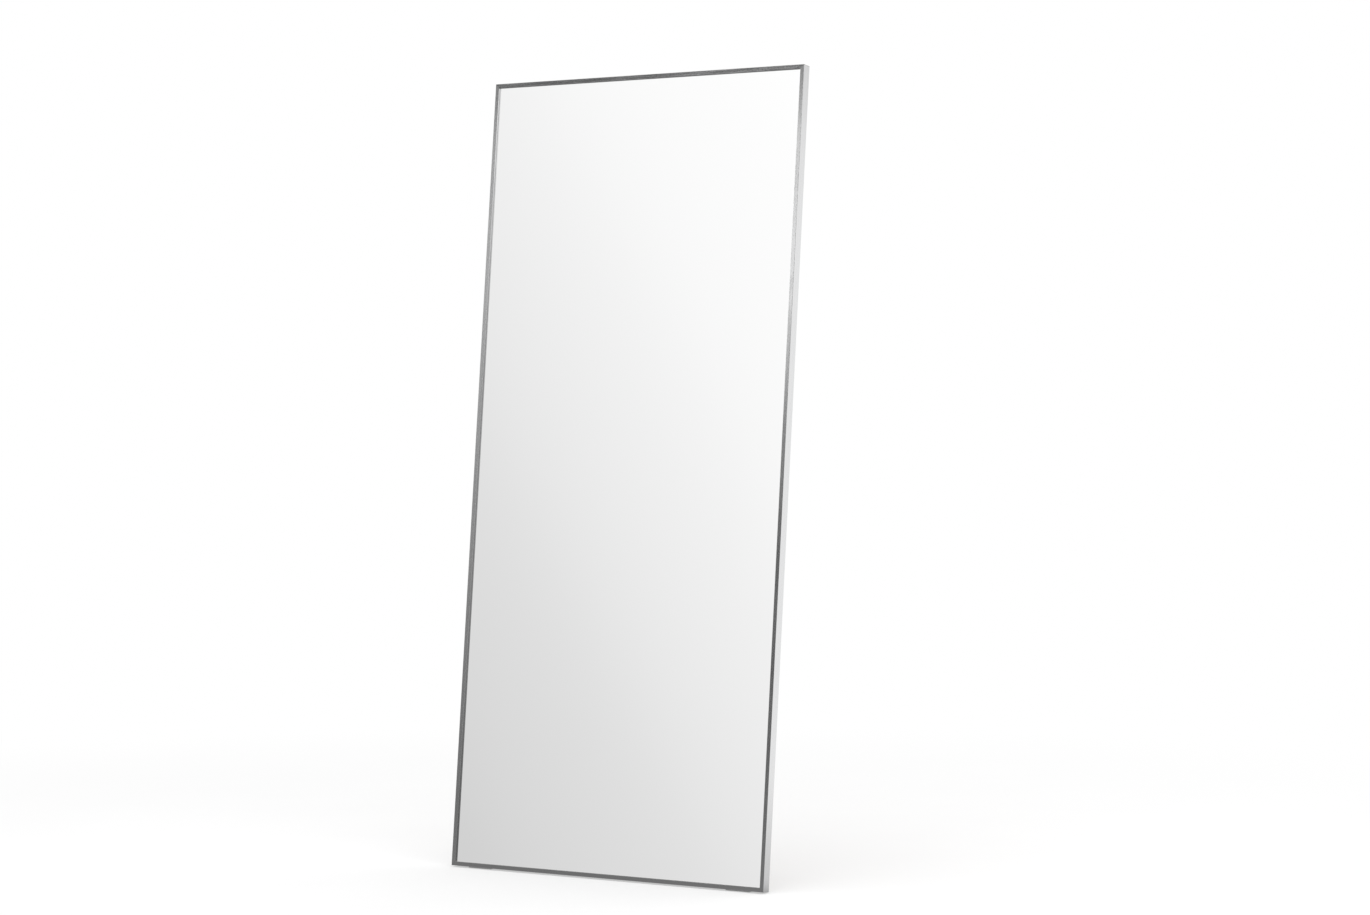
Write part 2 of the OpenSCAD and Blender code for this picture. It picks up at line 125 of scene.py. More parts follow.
def add(tree, kind, inputs=None, **settings):
    """Adds a node, sets its properties, and feeds its inputs."""
    made = tree.nodes.new(kind)
    for key, value in settings.items():
        setattr(made, key, value)
    feed(tree, made.inputs, inputs or {})
    return made


def maths(tree, operation, a, b=0.0, c=0.0, clamp=False):
    """One arithmetic step on numbers or sockets."""
    return add(tree, "ShaderNodeMath", {0: a, 1: b, 2: c}, operation=operation, use_clamp=clamp).outputs[0]


def raised(tree, base, value, by):
    """A base, raised by a value times a factor."""
    return maths(tree, "MULTIPLY_ADD", value, by, base)


def vector_maths(tree, operation, inputs):
    """One step on vectors; a dot product or a length comes out as a number."""
    made = add(tree, "ShaderNodeVectorMath", inputs, operation=operation)
    return made.outputs["Value" if operation in ("DOT_PRODUCT", "LENGTH") else "Vector"]


# Some sockets share a name, so these go by number: 1 to 4 are a range's ends before and after, 2 and 3 are the
# two values of a mix, and 6 and 7 are its two colours, which come out of 2.

def spread(tree, value, start, end, low=0.0, high=1.0, kind="LINEAR"):
    """Turns a value between start and end into one between low and high, and holds it beyond them."""
    return add(tree, "ShaderNodeMapRange", {"Value": value, 1: start, 2: end, 3: low, 4: high},
               interpolation_type=kind).outputs[0]


def blend_value(tree, share, first, second):
    """Mixes two values by a share from 0 to 1."""
    return add(tree, "ShaderNodeMix", {0: share, 2: first, 3: second}).outputs[0]


def blend_colour(tree, share, first, second, most=1.0):
    """Mixes two colours by a share from 0 to 1, which is scaled down where the second never fully shows."""
    if most < 1.0:
        share = maths(tree, "MULTIPLY", share, most)
    return add(tree, "ShaderNodeMix", {0: share, 6: first, 7: second}, data_type="RGBA").outputs[2]


def noise(tree, vector, scale, detail=2.0):
    """Soft noise: a value and a colour."""
    return add(tree, "ShaderNodeTexNoise", {"Vector": vector, "Scale": scale, "Detail": detail}).outputs


def cells(tree, vector, scale):
    """Scattered cells: the distance from a cell's middle, and a colour of its own for each cell."""
    return add(tree, "ShaderNodeTexVoronoi", {"Vector": vector, "Scale": scale}).outputs


def red_of(tree, colour):
    """The first channel of a colour."""
    return add(tree, "ShaderNodeSeparateColor", {0: colour}).outputs[0]


def smooth_curve(tree, value, points):
    """A smooth curve through (position, grey) pairs with positions from 0 to 1."""
    made = add(tree, "ShaderNodeValToRGB", {0: value})
    ramp = made.color_ramp
    ramp.interpolation = "CARDINAL"
    while len(ramp.elements) < len(points):
        ramp.elements.new(0.5)
    for element, (position, level) in zip(ramp.elements, points):
        element.position = position
        element.color = grey(level)
    return made.outputs[0]


def grey(level):
    """A neutral colour."""
    return (level, level, level, 1)


def new_group(name, inputs, outputs):
    """An empty shader group with named sockets; returns the tree, what it is given and what it gives."""
    group = bpy.data.node_groups.new(name, "ShaderNodeTree")
    for label, kind, value in inputs:
        socket = group.interface.new_socket(label, in_out="INPUT", socket_type="NodeSocket" + kind)
        if value is not None:
            socket.default_value = value
    for label, kind in outputs:
        group.interface.new_socket(label, in_out="OUTPUT", socket_type="NodeSocket" + kind)
    return group, add(group, "NodeGroupInput").outputs, add(group, "NodeGroupOutput").inputs


def use_group(tree, group, inputs):
    """Places a group in a material with its own values."""
    return add(tree, "ShaderNodeGroup", inputs, node_tree=group).outputs


CLOUD_DETAIL = 4.0
# Nearly all of the noise lies between these two values
CLOUD_THIN, CLOUD_THICK = 0.3, 0.7
NOISE_MIDDLE = (0.5, 0.5, 0.5)


def mottle_group():
    """Cloudy noise at a given scale, spread between two values."""
    group, given, out = new_group(
        "mottle",
        [("Vector", "Vector", None), ("Scale", "Float", 10.0), ("Low", "Float", 0.0), ("High", "Float", 1.0)],
        [("Value", "Float")],
    )
    cloud = noise(group, given["Vector"], given["Scale"], CLOUD_DETAIL)[0]
    feed(group, out, {"Value": spread(group, cloud, CLOUD_THIN, CLOUD_THICK, given["Low"], given["High"])})
    return group


def grain_group():
    """Fine parallel streaks: a streak value, and normals that lean across the grain and never along it.

    The noise, less its middle value, times the directions across the grain and the spread, is turned with the
    mirror's lean and added to the surface's own normal.
    """
    group, given, out = new_group(
        "grain",
        [("Vector", "Vector", None), ("Fineness", "Vector", (1, 1, 1)), ("Across", "Vector", (1, 1, 0)),
         ("Spread", "Float", 0.1), ("Turn", "Float", 0.0)],
        [("Value", "Float"), ("Normal", "Vector")],
    )
    scaled = vector_maths(group, "MULTIPLY", {0: given["Vector"], 1: given["Fineness"]})
    value, colour = noise(group, scaled, scale=1.0)
    centred = vector_maths(group, "SUBTRACT", {0: colour, 1: NOISE_MIDDLE})
    masked = vector_maths(group, "MULTIPLY", {0: centred, 1: given["Across"]})
    sized = vector_maths(group, "SCALE", {0: masked, "Scale": given["Spread"]})
    lean = add(group, "ShaderNodeVectorRotate", {"Vector": sized, "Angle": given["Turn"]},
               rotation_type="X_AXIS").outputs[0]
    surface = add(group, "ShaderNodeNewGeometry").outputs["Normal"]
    leaning = vector_maths(group, "ADD", {0: surface, 1: lean})
    feed(group, out, {"Value": value, "Normal": vector_maths(group, "NORMALIZE", {0: leaning})})
    return group


def specks_group():
    """Sparse round specks: 1 inside a speck and 0 outside it."""
    group, given, out = new_group(
        "specks",
        [("Vector", "Vector", None), ("Scale", "Float", 100.0), ("Size", "Float", 0.1),
         ("Share", "Float", 0.1)],
        [("Mask", "Float")],
    )
    spots = cells(group, given["Vector"], given["Scale"])
    inside = maths(group, "LESS_THAN", spots["Distance"], given["Size"])
    chosen = maths(group, "LESS_THAN", red_of(group, spots["Color"]), given["Share"])
    feed(group, out, {"Mask": maths(group, "MULTIPLY", inside, chosen)})
    return group


MOTTLE = mottle_group()
GRAIN = grain_group()
SPECKS = specks_group()


def new_material(name):
    """A material with its tree, its shader and its coordinates along the mirror's own axes."""
    material = bpy.data.materials.new(name)
    material.use_nodes = True
    tree = material.node_tree
    place = add(tree, "ShaderNodeTexCoord").outputs["Object"]
    axes = add(tree, "ShaderNodeMapping", {"Vector": place, "Rotation": (LEAN, 0, 0)})
    return material, tree, tree.nodes["Principled BSDF"], axes.outputs[0]


def set_shader(tree, shader, **values):
    """Sets or wires the shader's own sockets; an underscore in a name stands for a space."""
    feed(tree, shader.inputs, {key.replace("_", " "): value for key, value in values.items()})


def mottle(tree, axes, scale, low=0.0, high=1.0):
    """A cloudy value between low and high."""
    return use_group(tree, MOTTLE, {"Vector": axes, "Scale": scale, "Low": low, "High": high})["Value"]


def clouded(tree, axes, colours, scale):
    """A colour that drifts between two others, as clouds do."""
    return blend_colour(tree, mottle(tree, axes, scale), *colours)


def bump(tree, height, depth):
    """A normal from a height between 0 and 1, which stands for a real depth."""
    return add(tree, "ShaderNodeBump", {"Height": height, "Distance": depth}).outputs[0]


# Finishes. Where one varies between two colours, the darker comes first.

ALUMINIUM = (0.602, 0.603, 0.608, 1), (0.663, 0.664, 0.666, 1)
SILVERING = grey(0.948)
GLASS_EDGE = (0.30, 0.52, 0.44, 1)
BACK_PAINT = (0.20, 0.23, 0.24, 1), (0.24, 0.27, 0.28, 1)
FILM = (0.40, 0.46, 0.52, 1), (0.46, 0.52, 0.58, 1)
FOAM = (0.80, 0.80, 0.77, 1), (0.88, 0.88, 0.86, 1)
BOARD = (0.165, 0.098, 0.056, 1), (0.215, 0.132, 0.078, 1)
BOARD_FIBRE = (0.300, 0.198, 0.122, 1)
BOARD_FLECK = (0.07, 0.04, 0.025, 1)
ZINC = (0.47, 0.485, 0.505, 1), (0.56, 0.565, 0.565, 1)
ZINC_SCUFF = (0.38, 0.39, 0.40, 1)
COAT = (0.36, 0.365, 0.375, 1), (0.42, 0.425, 0.435, 1)
COAT_FLAKE = (0.72, 0.725, 0.73, 1)
NYLON = grey(0.030), grey(0.050)
BLACK_RUBBER = grey(0.022), grey(0.036)
PALE_RUBBER = grey(0.42), grey(0.50)
DUST = grey(0.5)

# Noise cells in a metre, across the rail's grain and along it
GRAIN_FINE = 6000
GRAIN_LONG = 12
# How much coarser the streaks of the colour are than those of the shine, and how much these change the shine
STREAK_COARSE = 5
STREAK_ROUGH = 0.04
# The share of a normal along the mirror's depth past which a face of the glass counts as front or back
FACING = 0.5
EDGE_ROUGH = 0.35
# For each layer of fibres, its turn in degrees and the fineness of its noise in each direction
FIBRE_LAYERS = ((20, (1900, 1900, 420)), (75, (380, 1800, 1800)), (130, (1600, 1800, 340)))
# Only the cells whose own number is above this one hold a flake
FLAKE_RARE = 0.8
# How far a moulded finish's roughness goes to both sides of its middle
STIPPLE_ROUGH = 0.1


def satin_aluminium(name, along_x, lean, smooth, rough):
    """Anodised extrusion, satin, with its grain along the rail."""
    material, tree, shader, axes = new_material(name)
    fineness = (GRAIN_LONG, GRAIN_FINE, GRAIN_FINE) if along_x else (GRAIN_FINE, GRAIN_FINE, GRAIN_LONG)
    across = (0, 1, 1) if along_x else (1, 1, 0)
    grain = use_group(tree, GRAIN, {
        "Vector": axes, "Fineness": fineness, "Across": across, "Spread": lean, "Turn": -LEAN,
    })
    coarse = tuple(each / STREAK_COARSE for each in fineness)
    streaks = use_group(tree, GRAIN, {"Vector": axes, "Fineness": coarse})["Value"]
    colour = blend_colour(tree, streaks, *ALUMINIUM)
    uneven = mottle(tree, axes, scale=9.0, low=smooth, high=rough)
    roughness = raised(tree, uneven, grain["Value"], by=STREAK_ROUGH)
    set_shader(tree, shader, Base_Color=colour, Metallic=1.0, Roughness=roughness, Normal=grain["Normal"])
    return material


def mirror_silver():
    """Silvered float glass: a plain mirror on its front, green on its edges, and grey paint on its back."""
    material, tree, shader, axes = new_material("mirror_silver")
    surface = add(tree, "ShaderNodeNewGeometry").outputs["Normal"]
    upright = add(tree, "ShaderNodeVectorRotate", {"Vector": surface, "Angle": LEAN}, rotation_type="X_AXIS")
    facing = add(tree, "ShaderNodeSeparateXYZ", {0: upright.outputs[0]}).outputs[1]
    front = maths(tree, "LESS_THAN", facing, -FACING)
    back = maths(tree, "GREATER_THAN", facing, FACING)
    glass = blend_colour(tree, front, GLASS_EDGE, SILVERING)
    colour = blend_colour(tree, back, glass, clouded(tree, axes, BACK_PAINT, scale=60.0))
    metallic = maths(tree, "SUBTRACT", 1.0, back)
    roughness = maths(tree, "MULTIPLY", maths(tree, "SUBTRACT", 1.0, front), EDGE_ROUGH)
    set_shader(tree, shader, Base_Color=colour, Metallic=metallic, Roughness=roughness)
    return material


def safety_film():
    """Blue-grey plastic film, a little wavy."""
    material, tree, shader, axes = new_material("safety_film")
    waves = bump(tree, mottle(tree, axes, scale=25.0), depth=0.3 * MM)
    set_shader(tree, shader, Base_Color=clouded(tree, axes, FILM, scale=4.0), Roughness=0.25, Normal=waves)
    return material


def foam():
    """White sheet foam with fine closed cells."""
    material, tree, shader, axes = new_material("foam")
    bubbles = cells(tree, axes, scale=700.0)["Distance"]
    colour = blend_colour(tree, bubbles, *FOAM)
    set_shader(tree, shader, Base_Color=colour, Roughness=0.9, Normal=bump(tree, bubbles, depth=0.3 * MM))
    return material


def hardboard():
    """Brown pressed fibreboard: short fibres lying all ways, cloudy tone, a few dark flecks."""
    material, tree, shader, axes = new_material("hardboard")
    layers = []
    for turn, fineness in FIBRE_LAYERS:
        laid = add(tree, "ShaderNodeMapping",
                   {"Vector": axes, "Rotation": (0, radians(turn), 0), "Scale": fineness})
        layers.append(noise(tree, laid.outputs[0], scale=1.0, detail=3.0)[0])
    web = maths(tree, "MAXIMUM", maths(tree, "MAXIMUM", layers[0], layers[1]), layers[2])
    fibres = spread(tree, web, start=0.42, end=0.74)
    fibred = blend_colour(tree, fibres, clouded(tree, axes, BOARD, scale=7.0), BOARD_FIBRE)
    fleck = use_group(tree, SPECKS, {"Vector": axes, "Scale": 190.0, "Size": 0.13, "Share": 0.05})["Mask"]
    colour = blend_colour(tree, fleck, fibred, BOARD_FLECK, most=0.5)
    roughness = raised(tree, 0.62, fibres, by=0.16)
    set_shader(tree, shader, Base_Color=colour, Roughness=roughness,
               Normal=bump(tree, fibres, depth=0.08 * MM))
    return material


def zinc_plate():
    """Bright zinc plating on steel: cool, faintly cloudy, with rolling marks and a few scuffs."""
    material, tree, shader, axes = new_material("zinc_plate")
    grain = use_group(tree, GRAIN, {
        "Vector": axes, "Fineness": (60, 2500, 2500), "Across": (0, 1, 1), "Spread": 0.10, "Turn": -LEAN,
    })
    marks = use_group(tree, GRAIN, {"Vector": axes, "Fineness": (900, 40, 55)})["Value"]
    scuff = spread(tree, marks, start=0.66, end=0.74)
    colour = blend_colour(tree, scuff, clouded(tree, axes, ZINC, scale=45.0), ZINC_SCUFF, most=0.35)
    roughness = raised(tree, mottle(tree, axes, scale=120.0, low=0.24, high=0.34), scuff, by=0.15)
    set_shader(tree, shader, Base_Color=colour, Metallic=1.0, Roughness=roughness, Normal=grain["Normal"])
    return material


def powder_coat():
    """Silver-grey powder coat with a fine orange peel and small bright flakes."""
    material, tree, shader, axes = new_material("powder_coat")
    peel = noise(tree, axes, scale=1400.0)[0]
    flake = red_of(tree, cells(tree, axes, scale=6000.0)["Color"])
    sparkle = maths(tree, "GREATER_THAN", flake, FLAKE_RARE)
    colour = blend_colour(tree, sparkle, clouded(tree, axes, COAT, scale=30.0), COAT_FLAKE, most=0.45)
    roughness = raised(tree, 0.34, peel, by=0.12)
    set_shader(tree, shader, Base_Color=colour, Metallic=0.55, Roughness=roughness,
               Normal=bump(tree, peel, depth=0.08 * MM))
    return material


def moulded(name, colours, roughness, stipple, depth):
    """Moulded rubber or nylon: a fine stipple, uneven tone, and a little pale dust."""
    material, tree, shader, axes = new_material(name)
    pits = noise(tree, axes, scale=stipple)[0]
    dust = use_group(tree, SPECKS, {"Vector": axes, "Scale": 900.0, "Size": 0.22, "Share": 0.05})["Mask"]
    colour = blend_colour(tree, dust, clouded(tree, axes, colours, scale=90.0), DUST, most=0.25)
    uneven = raised(tree, roughness - STIPPLE_ROUGH, pits, by=2 * STIPPLE_ROUGH)
    set_shader(tree, shader, Base_Color=colour, Roughness=uneven, Normal=bump(tree, pits, depth))
    return material


UPRIGHT = satin_aluminium("aluminium_upright", along_x=False, lean=0.12, smooth=0.10, rough=0.15)
LEVEL = satin_aluminium("aluminium_level", along_x=True, lean=0.05, smooth=0.06, rough=0.09)
FINISHES = {
    "frame_aluminium": UPRIGHT,
    "mirror": mirror_silver(),
    "film": safety_film(),
    "foam": foam(),
    "board": hardboard(),
    "zinc_steel": zinc_plate(),
    "stand_paint": powder_coat(),
    "plug_nylon": moulded("nylon", NYLON, roughness=0.42, stipple=1500.0, depth=0.03 * MM),
    "black_rubber": moulded("black_rubber", BLACK_RUBBER, roughness=0.68, stipple=2200.0, depth=0.06 * MM),
    "pale_rubber": moulded("pale_rubber", PALE_RUBBER, roughness=0.55, stipple=1800.0, depth=0.04 * MM),
}


def finish_nodes():
    """Gives every CAD node the finish of its slot, and the level rails their own grain."""
    for part in frame["record"]["subparts"]:
        slots = nodes[part["node"]].material_slots
        level = part["node"] in ("top_rail", "bottom_rail")
        slots[0].material = LEVEL if level else FINISHES[part["material_slot"]]


finish_nodes()


# Fine shapes

# Points nearer to each other than this become one
MERGE = 0.002 * MM
# The edge of each flat next to a round edge, and the round edge of a plate
FLAT_RIM = 0.03 * MM
EDGE = 0.3 * MM


def build(name, grids, ends, body, slot, replaced, material=None, sharp=35, patches=()):
    """Makes one piece of grids of points, each closed around its second direction.

    The ends of the first direction are filled with caps, shrink to poles, meet in a loop, or stay open for
    the patches, which are faces given by the numbers of their corners. Edges sharper than an angle in
    degrees stay sharp.
    """
    corners, faces = [], list(patches)
    for grid in grids:
        rings, around = grid.shape[:2]
        first = sum(len(c) for c in corners)
        index = first + np.arange(rings * around).reshape(rings, around)
        follow = np.roll(index, -1, 0) if ends == "loop" else index[1:]
        start = index if ends == "loop" else index[:-1]
        quads = np.stack([start, np.roll(start, -1, 1), np.roll(follow, -1, 1), follow], -1)
        faces += quads.reshape(-1, 4).tolist()
        if ends == "caps":
            faces += [index[0][::-1].tolist(), index[-1].tolist()]
        corners.append(grid.reshape(-1, 3))
    mesh = bpy.data.meshes.new(name)
    mesh.from_pydata(np.concatenate(corners).tolist(), [], faces)
    shape = bmesh.new()
    shape.from_mesh(mesh)
    bmesh.ops.remove_doubles(shape, verts=shape.verts, dist=MERGE)
    bmesh.ops.recalc_face_normals(shape, faces=shape.faces)
    shape.to_mesh(mesh)
    shape.free()
    mesh.polygons.foreach_set("use_smooth", [True] * len(mesh.polygons))
    mesh.set_sharp_from_angle(angle=radians(sharp))
    mesh.materials.append(material or FINISHES[slot])
    piece = bpy.data.objects.new(name, mesh)
    bpy.context.scene.collection.objects.link(piece)
    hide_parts(*replaced)
    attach(piece, body)
    return piece


def at_each(shape, across, depth, up):
    """A shape set down in mirror axes at each pair of an X and a Z, all at one depth."""
    return [from_mirror(shape + [x, depth, z]) for x in across for z in up]


def round_corners(corners, radii, parts=4):
    """A closed outline whose corners are arcs: centre + ((1-s) and s shares of the two end radii, by sines).

    One more point at FLAT_RIM from each end of an arc keeps the shading of the flats between them flat.
    """
    corners = np.array(corners, float)
    before = np.roll(corners, 1, 0) - corners
    after = np.roll(corners, -1, 0) - corners
    before /= np.linalg.norm(before, axis=1, keepdims=True)
    after /= np.linalg.norm(after, axis=1, keepdims=True)
    half = np.arccos(np.sum(before * after, 1)) / 2
    radii = np.array(radii, float)
    middle = before + after
    middle /= np.linalg.norm(middle, axis=1, keepdims=True)
    centre = corners + middle * (radii / np.sin(half))[:, None]
    reach = (radii / np.tan(half))[:, None]
    first_flat = corners + before * (reach + FLAT_RIM)
    last_flat = corners + after * (reach + FLAT_RIM)
    start = corners + before * reach - centre
    end = corners + after * reach - centre
    sweep = pi - 2 * half
    share = np.linspace(0, 1, parts + 1)
    first = (np.sin((1 - share) * sweep[:, None]) / np.sin(sweep)[:, None])[..., None]
    second = (np.sin(share * sweep[:, None]) / np.sin(sweep)[:, None])[..., None]
    arcs = centre[:, None] + first * start[:, None] + second * end[:, None]
    return np.concatenate([first_flat[:, None], arcs, last_flat[:, None]], 1).reshape(-1, 2)


def turned(profile, around=40, hexagons=()):
    """A shape turned about Y: (r sin t, h, r cos t) for each (r, h) of the profile.

    In the rings named as hexagons, r grows by 1 / cos of the angle from the middle of the nearest side.
    """
    t = np.arange(around) * 2 * pi / around
    radius = np.repeat(np.array(profile, float)[:, :1], around, 1)
    height = np.repeat(np.array(profile, float)[:, 1:], around, 1)
    hexagon = cos(pi / 6) / np.cos((t + pi / 6) % (pi / 3) - pi / 6)
    for ring in hexagons:
        radius[ring] *= hexagon
    return np.stack([radius * np.sin(t), height, radius * np.cos(t)], -1)


def arc(centre, radius, start, end, parts=6):
    """Points (r, h) on an arc of a profile, between two angles in degrees."""
    t = np.radians(np.linspace(start, end, parts + 1))
    return [(centre[0] + radius * np.cos(a), centre[1] + radius * np.sin(a)) for a in t]


def plate(outline, thickness, parts=3):
    """A plate from a counterclockwise outline (x, z), from Y = 0 back, with an arc round both faces.

    The ring at angle a of an arc is set in by EDGE (1 - sin a), at depth EDGE (1 - cos a) from its face, and
    one more ring at FLAT_RIM inside the arc keeps the face's shading flat.
    """
    outline = np.array(outline, float)
    along = np.roll(outline, -1, 0) - np.roll(outline, 1, 0)
    along /= np.linalg.norm(along, axis=1, keepdims=True)
    outward = np.stack([along[:, 1], -along[:, 0]], -1)
    a = np.linspace(0, pi / 2, parts + 1)
    inset = EDGE * (1 - np.sin(a))
    depth = EDGE * (1 - np.cos(a))
    inset = np.concatenate([[EDGE + FLAT_RIM], inset, inset[::-1], [EDGE + FLAT_RIM]])
    depth = np.concatenate([[0], depth, thickness - depth[::-1], [thickness]])
    ring = outline - outward * inset[:, None, None]
    return np.stack([ring[..., 0], np.repeat(depth[:, None], len(outline), 1), ring[..., 1]], -1)


def rounded_rectangle(width, height, radius):
    """A counterclockwise rectangle about its middle, with round corners."""
    w, h = width / 2, height / 2
    return round_corners([(-w, -h), (w, -h), (w, h), (-w, h)], [radius] * 4, parts=6)


# Rails

RIM = mirror_box("right_rail")[1]
RAIL_W = mirror_box("bottom_rail")[1][2]
LIP_T = mirror_box("glass_gasket")[0][1]
WALL = RIM[1] - mirror_box("corner_key_top_right")[1][1]
# The nose is the thick inner edge of the lip, the shelf lies behind the backing board, and the hooks close the
# rear channel on both sides
NOSE_W = 1.2 * MM
NOSE_GAP = 0.5 * MM
HOOK = 3.0 * MM
SHELF_PLAY = 0.2 * MM
# Radii of the section's edges, and of the frame's corners
FRONT_EDGE = 0.8 * MM
NOSE_EDGE = 0.35 * MM
SMALL_EDGE = 0.2 * MM
BACK_EDGE = 0.4 * MM
CORNER = 1.0 * MM
MITRE_GAP = 0.1 * MM
SHELF = mirror_box("backing_board")[1][1] + SHELF_PLAY
NOSE_T = mirror_box("mirror_glass")[0][1] - NOSE_GAP


def lip_width():
    """Width of the lip: how far the bottom rail's foremost points stand above its lower face."""
    points = to_mirror(node_points("bottom_rail"))
    return points[points[:, 1] < LIP_T, 2].max()


LIP_W = lip_width()


def rail_outline():
    """Section of the extrusion as (inset, depth), with a small radius on every edge.

    It runs along the lip, round the nose, behind the lip to the outer wall, round the shelf that the backing
    board lies against, and round the rear channel with its two hooks.
    """
    depth, hook = RIM[1], RIM[1] - WALL
    inner, back = RAIL_W - WALL, SHELF + WALL
    corners = [
        (0, 0, FRONT_EDGE), (LIP_W, 0, NOSE_EDGE), (LIP_W, NOSE_T, SMALL_EDGE),
        (LIP_W - NOSE_W, NOSE_T, SMALL_EDGE), (LIP_W - NOSE_W, LIP_T, SMALL_EDGE), (WALL, LIP_T, SMALL_EDGE),
        (WALL, SHELF, SMALL_EDGE), (RAIL_W, SHELF, BACK_EDGE), (RAIL_W, depth, BACK_EDGE),
        (inner - HOOK, depth, BACK_EDGE), (inner - HOOK, hook, SMALL_EDGE), (inner, hook, SMALL_EDGE),
        (inner, back, SMALL_EDGE), (WALL, back, SMALL_EDGE), (WALL, hook, SMALL_EDGE),
        (WALL + HOOK, hook, SMALL_EDGE), (WALL + HOOK, depth, BACK_EDGE), (0, depth, BACK_EDGE),
    ]
    return round_corners([corner[:2] for corner in corners], [corner[2] for corner in corners])


def rail_grid(length, parts=6):
    """A rail along Z: its outline carried from mitre to mitre, and pulled in round the frame's corners.

    A point at inset u starts at u + MITRE_GAP / sqrt 2 from the end, where u is at least the round corner's
    bevel. At a distance d below CORNER it is set in by at least CORNER - sqrt(CORNER^2 - (CORNER - d)^2).
    """
    across, depths = rail_outline().T
    bevel = CORNER * (1 - np.sqrt(0.5))
    share = np.linspace(0, 1, parts + 1)
    near = np.maximum(across, bevel)[:, None] + MITRE_GAP / np.sqrt(2) + share * (CORNER - bevel)
    inset = CORNER - np.sqrt(CORNER ** 2 - np.clip(CORNER - near, 0, CORNER) ** 2)
    across = np.maximum(across[:, None], inset)
    along = np.concatenate([near, length - near[:, ::-1]], 1)
    across = np.concatenate([across, across[:, ::-1]], 1)
    grid = np.stack([across, np.repeat(depths[:, None], along.shape[1], 1), along], -1)
    return grid.transpose(1, 0, 2)


def rails():
    """Four rails of the same extrusion, mitred at the corners."""
    side = rail_grid(RIM[2])
    inset, depth, along = np.moveaxis(rail_grid(2 * RIM[0]), -1, 0)
    shapes = {
        "left": (side - [RIM[0], 0, 0], UPRIGHT),
        "right": (side * [-1, 1, 1] + [RIM[0], 0, 0], UPRIGHT),
        "bottom": (np.stack([along - RIM[0], depth, inset], -1), LEVEL),
        "top": (np.stack([along - RIM[0], depth, RIM[2] - inset], -1), LEVEL),
    }
    for place, (grid, material) in shapes.items():
        build(place + "_rail_profile", [from_mirror(grid)], "caps", "mirror", "frame_aluminium",
              [place + "_rail"], material, sharp=25)


rails()


# Fasteners

# A screw's head with its dome, its thread with a tapered tip, and the socket with its rim, mouth and floor
HEAD_R = 4.0 * MM
HEAD_T = 2.2 * MM
DOME_R = 0.55 * HEAD_R
DOME_CENTRE = (0.45 * HEAD_R, 0.35 * HEAD_T)
DOME_END = 62
THREAD_R = 2.0 * MM
TIP_R = 0.75 * THREAD_R
TIP_TAPER = 0.3 * THREAD_R
SOCKET_R = 1.6 * MM
SOCKET_RIM_R = 1.25 * SOCKET_R
SOCKET_MOUTH_R = 1.08 * SOCKET_R
SOCKET_TOP = 0.95 * HEAD_T
SOCKET_FLOOR = 0.33 * HEAD_T
SOCKET_CENTRE = 0.25 * HEAD_T
BRACKET_T = 2.0 * MM
# How far the bars' screws go past the hooks into their nuts, and the brackets' screws past the crossbar
NUT_REACH = 4.0 * MM
SCREW_TAIL = 1.5 * MM
BAR_SCREW_PITCH = 30.0 * MM
HEAD_MARGIN = 2.0 * MM
BARS = ("hanging_bar", "upper_crossbar", "lower_crossbar")


def screw_grid(length):
    """A pan-headed screw turned about Y: its dome is an arc, and a hexagon socket goes into it."""
    dome = arc(DOME_CENTRE, DOME_R, 0, DOME_END, parts=8)
    scale = HEAD_T / max(h for r, h in dome)
    profile = [(0, -length), (TIP_R, -length), (THREAD_R, -length + TIP_TAPER), (THREAD_R, 0), (HEAD_R, 0)]
    profile += [(r, h * scale) for r, h in dome]
    profile += [(SOCKET_RIM_R, HEAD_T), (SOCKET_MOUTH_R, HEAD_T), (SOCKET_R, SOCKET_TOP),
                (SOCKET_R, SOCKET_FLOOR), (0, SOCKET_CENTRE)]
    return turned(profile, around=36, hexagons=(-4, -3, -2))


def screws():
    """Screws at both ends of each bar, and four in the base of each bracket."""
    bar_screws = []
    for bar in BARS:
        low, high = mirror_box(bar)
        middle = (low[2] + high[2]) / 2
        rail = RIM[0] - RAIL_W / 2
        length = high[1] - (RIM[1] - WALL - NUT_REACH)
        bar_screws += at_each(screw_grid(length), (-rail, rail), high[1],
                              (middle - BAR_SCREW_PITCH / 2, middle + BAR_SCREW_PITCH / 2))
    build("crossbar_pan_screws", bar_screws, "poles", "mirror", "zinc_steel", ["crossbar_screws"])
    base_screws = []
    for bracket in ("hinge_bracket_left", "hinge_bracket_right"):
        low, high = mirror_box(bracket)
        centre = (low + high) / 2
        reach = (high - low) / 2 - HEAD_R - HEAD_MARGIN
        seat = low[1] + BRACKET_T
        length = seat - mirror_box("upper_crossbar")[0][1] + SCREW_TAIL
        base_screws += at_each(screw_grid(length), (centre[0] - reach[0], centre[0] + reach[0]), seat,
                               (centre[2] - reach[2], centre[2] + reach[2]))
    build("bracket_pan_screws", base_screws, "poles", "mirror", "zinc_steel", ["bracket_screws"])


screws()


# Hinge brackets, their pins, and the crossbars

# The ears stand beside the leg with a gap on both sides, and the pin goes through all three
EAR_GAP = 0.4 * MM
EAR_R = 9.0 * MM
EAR_PARTS = 24
PLATE_R = 3.0 * MM
LEG_R = 6.0 * MM
PIN_R = 2.5 * MM
# The share of the head's radius that is nearly flat, how far it rises to its middle, and its round edge
PIN_FLAT = 0.55
PIN_DOME = 0.05 * MM
PIN_EDGE = 0.9 * MM
GROOVE_R = 2.0 * MM
GROOVE_W = 0.9 * MM
KEYHOLE_R = mounts["keyhole_right"]["dims"]["r_mm"] * MM
KEYHOLE_RISE = 12.0 * MM
SLOT_R = 2.5 * MM
PIVOT = to_mirror(HINGE)[1:]


